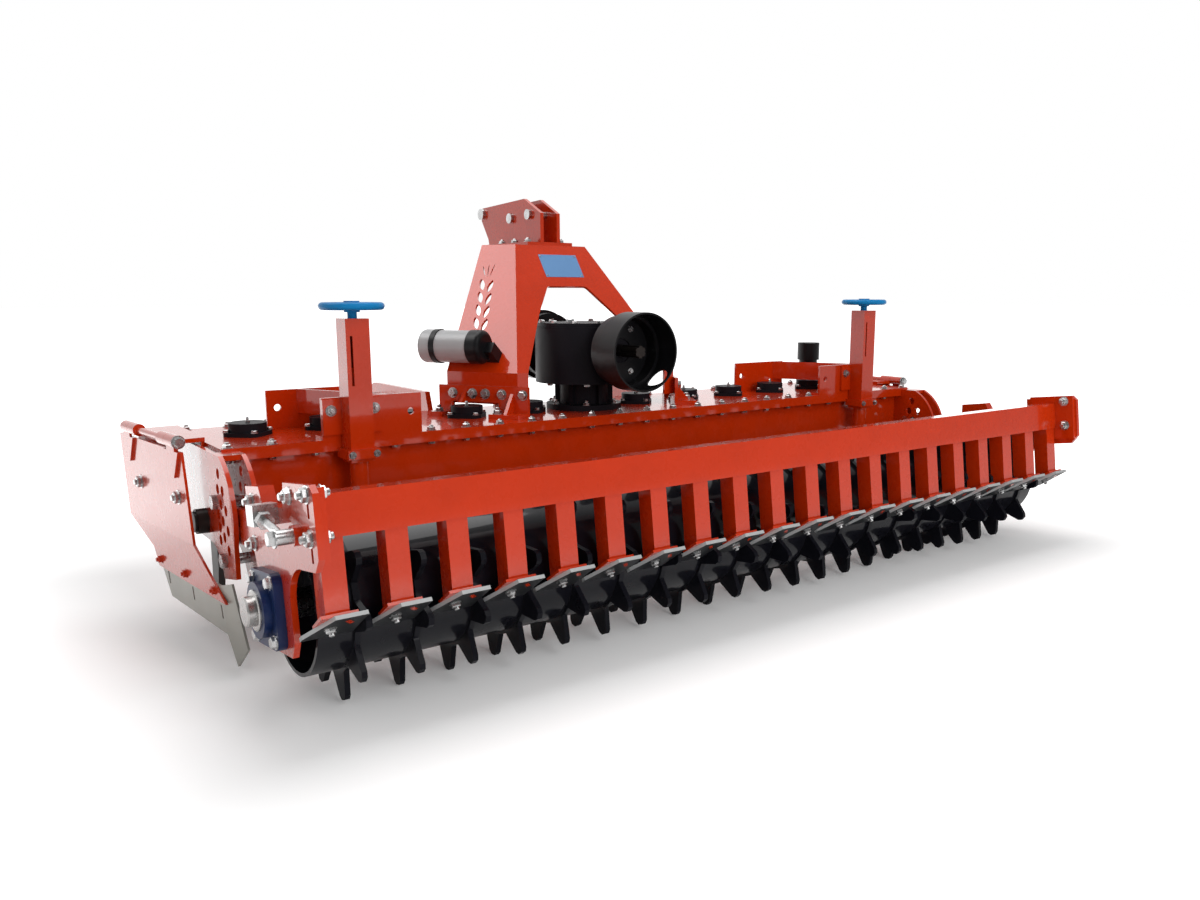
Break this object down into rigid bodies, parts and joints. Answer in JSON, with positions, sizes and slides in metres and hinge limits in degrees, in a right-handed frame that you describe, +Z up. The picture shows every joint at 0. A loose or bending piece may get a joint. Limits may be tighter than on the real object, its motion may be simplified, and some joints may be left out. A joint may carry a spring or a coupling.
{
  "type": "rotary harrow (power harrow)",
  "caption": "Tractor-mounted power harrow with counter-rotating knife-tine rotors, levelling bar, swinging side deflectors and a toothed packer roller with scrapers.",
  "frame": {"origin": "on the ground under the middle of the overall box", "axes": "+X to the right of the machine, along its working width, +Y forward in the direction of travel, +Z up"},
  "size_m": [2.6836, 1.5282, 1.106],
  "materials": {
    "red_paint": "gloss",
    "black_paint": "gloss",
    "navy_paint": "satin",
    "black_plastic": "satin",
    "grey_plastic": "satin",
    "blue_plastic": "gloss",
    "zinc": "satin",
    "blade_steel": "matte",
    "wear_steel": "satin",
    "cast_iron": "matte",
    "tine_steel": "matte",
    "axle_steel": "satin",
    "dark_steel": "satin"
  },
  "bodies": {
    "frame": {"gear_trough": "red_paint", "trough_lid": "red_paint", "bearing_caps": "black_paint", "forks": "red_paint", "arm_pins": "zinc", "arm_pivots": "dark_steel", "hinge_brackets": "red_paint", "tower": "red_paint", "tower_feet": "red_paint", "top_link_bracket": "red_paint", "hitch_pins": "zinc", "gearbox": "black_paint", "gearbox_lid": "black_paint", "pto_guards": "black_plastic", "document_tube": "grey_plastic", "document_tube_caps": "black_plastic", "lower_links": "red_paint", "jacks": "red_paint", "jack_brackets": "red_paint", "handwheels": "blue_plastic", "oil_filler": "black_plastic"},
    "pto": {"pto_shaft": "dark_steel"},
    "levelling_bar": {"levelling_bar": "red_paint"},
    "roller_frame": {"roller_arms": "red_paint", "roller_end_plates": "red_paint", "roller_bearings": "navy_paint", "scraper_beam": "red_paint", "scraper_blades": "blade_steel", "scraper_adjusters": "zinc"},
    "roller": {"roller_drum": "black_paint", "roller_axles": "axle_steel"},
    "deflector_left": {"deflector_left": "red_paint", "wear_plate_left": "wear_steel"},
    "deflector_right": {"deflector_right": "red_paint", "wear_plate_right": "wear_steel"},
    "rotor_01": {"rotor_01_hub": "cast_iron", "rotor_01_tines": "tine_steel"},
    "rotor_02": {"rotor_02_hub": "cast_iron", "rotor_02_tines": "tine_steel"},
    "rotor_03": {"rotor_03_hub": "cast_iron", "rotor_03_tines": "tine_steel"},
    "rotor_04": {"rotor_04_hub": "cast_iron", "rotor_04_tines": "tine_steel"},
    "rotor_05": {"rotor_05_hub": "cast_iron", "rotor_05_tines": "tine_steel"},
    "rotor_06": {"rotor_06_hub": "cast_iron", "rotor_06_tines": "tine_steel"},
    "rotor_07": {"rotor_07_hub": "cast_iron", "rotor_07_tines": "tine_steel"},
    "rotor_08": {"rotor_08_hub": "cast_iron", "rotor_08_tines": "tine_steel"},
    "rotor_09": {"rotor_09_hub": "cast_iron", "rotor_09_tines": "tine_steel"},
    "rotor_10": {"rotor_10_hub": "cast_iron", "rotor_10_tines": "tine_steel"},
    "rotor_11": {"rotor_11_hub": "cast_iron", "rotor_11_tines": "tine_steel"},
    "rotor_12": {"rotor_12_hub": "cast_iron", "rotor_12_tines": "tine_steel"}
  },
  "joints": [
    {"name": "rotor_01_spin", "type": "hinge", "parent": "frame", "child": "rotor_01", "pos_m": [-1.1, 0.096, 0.25], "axis": [0, 0, 1], "continuous": true},
    {"name": "rotor_02_spin", "type": "hinge", "parent": "frame", "child": "rotor_02", "pos_m": [-0.9, 0.096, 0.25], "axis": [0, 0, 1], "continuous": true},
    {"name": "rotor_03_spin", "type": "hinge", "parent": "frame", "child": "rotor_03", "pos_m": [-0.7, 0.096, 0.25], "axis": [0, 0, 1], "continuous": true},
    {"name": "rotor_04_spin", "type": "hinge", "parent": "frame", "child": "rotor_04", "pos_m": [-0.5, 0.096, 0.25], "axis": [0, 0, 1], "continuous": true},
    {"name": "rotor_05_spin", "type": "hinge", "parent": "frame", "child": "rotor_05", "pos_m": [-0.3, 0.096, 0.25], "axis": [0, 0, 1], "continuous": true},
    {"name": "rotor_06_spin", "type": "hinge", "parent": "frame", "child": "rotor_06", "pos_m": [-0.1, 0.096, 0.25], "axis": [0, 0, 1], "continuous": true},
    {"name": "rotor_07_spin", "type": "hinge", "parent": "frame", "child": "rotor_07", "pos_m": [0.1, 0.096, 0.25], "axis": [0, 0, 1], "continuous": true},
    {"name": "rotor_08_spin", "type": "hinge", "parent": "frame", "child": "rotor_08", "pos_m": [0.3, 0.096, 0.25], "axis": [0, 0, 1], "continuous": true},
    {"name": "rotor_09_spin", "type": "hinge", "parent": "frame", "child": "rotor_09", "pos_m": [0.5, 0.096, 0.25], "axis": [0, 0, 1], "continuous": true},
    {"name": "rotor_10_spin", "type": "hinge", "parent": "frame", "child": "rotor_10", "pos_m": [0.7, 0.096, 0.25], "axis": [0, 0, 1], "continuous": true},
    {"name": "rotor_11_spin", "type": "hinge", "parent": "frame", "child": "rotor_11", "pos_m": [0.9, 0.096, 0.25], "axis": [0, 0, 1], "continuous": true},
    {"name": "rotor_12_spin", "type": "hinge", "parent": "frame", "child": "rotor_12", "pos_m": [1.1, 0.096, 0.25], "axis": [0, 0, 1], "continuous": true},
    {"name": "pto_spin", "type": "hinge", "parent": "frame", "child": "pto", "pos_m": [-0.1, 0.096, 0.649], "axis": [0, 1, 0], "continuous": true},
    {"name": "levelling_bar_lift", "type": "slide", "parent": "frame", "child": "levelling_bar", "axis": [0, 0, 1], "range_m": [-0.04, 0.08]},
    {"name": "roller_depth", "type": "hinge", "parent": "frame", "child": "roller_frame", "pos_m": [0, -0.025, 0.295], "axis": [1, 0, 0], "range_deg": [0, 10]},
    {"name": "roller_spin", "type": "hinge", "parent": "roller_frame", "child": "roller", "pos_m": [0, -0.488, 0.208], "axis": [1, 0, 0], "continuous": true},
    {"name": "deflector_left_swing", "type": "hinge", "parent": "frame", "child": "deflector_left", "pos_m": [-1.291, 0, 0.482], "axis": [-0.1045, 0.9945, 0], "range_deg": [0, 60], "stiffness_Nm_per_rad": 60, "springref_deg": -20.05},
    {"name": "deflector_right_swing", "type": "hinge", "parent": "frame", "child": "deflector_right", "pos_m": [1.291, 0, 0.482], "axis": [-0.1045, -0.9945, 0], "range_deg": [0, 60], "stiffness_Nm_per_rad": 60, "springref_deg": -20.05}
  ],
  "couplings": [
    {"joint": "rotor_02_spin", "follows": "rotor_01_spin", "ratio": -1},
    {"joint": "rotor_03_spin", "follows": "rotor_01_spin", "ratio": 1},
    {"joint": "rotor_04_spin", "follows": "rotor_01_spin", "ratio": -1},
    {"joint": "rotor_05_spin", "follows": "rotor_01_spin", "ratio": 1},
    {"joint": "rotor_06_spin", "follows": "rotor_01_spin", "ratio": -1},
    {"joint": "rotor_07_spin", "follows": "rotor_01_spin", "ratio": 1},
    {"joint": "rotor_08_spin", "follows": "rotor_01_spin", "ratio": -1},
    {"joint": "rotor_09_spin", "follows": "rotor_01_spin", "ratio": 1},
    {"joint": "rotor_10_spin", "follows": "rotor_01_spin", "ratio": -1},
    {"joint": "rotor_11_spin", "follows": "rotor_01_spin", "ratio": 1},
    {"joint": "rotor_12_spin", "follows": "rotor_01_spin", "ratio": -1},
    {"joint": "pto_spin", "follows": "rotor_01_spin", "ratio": 3}
  ]
}
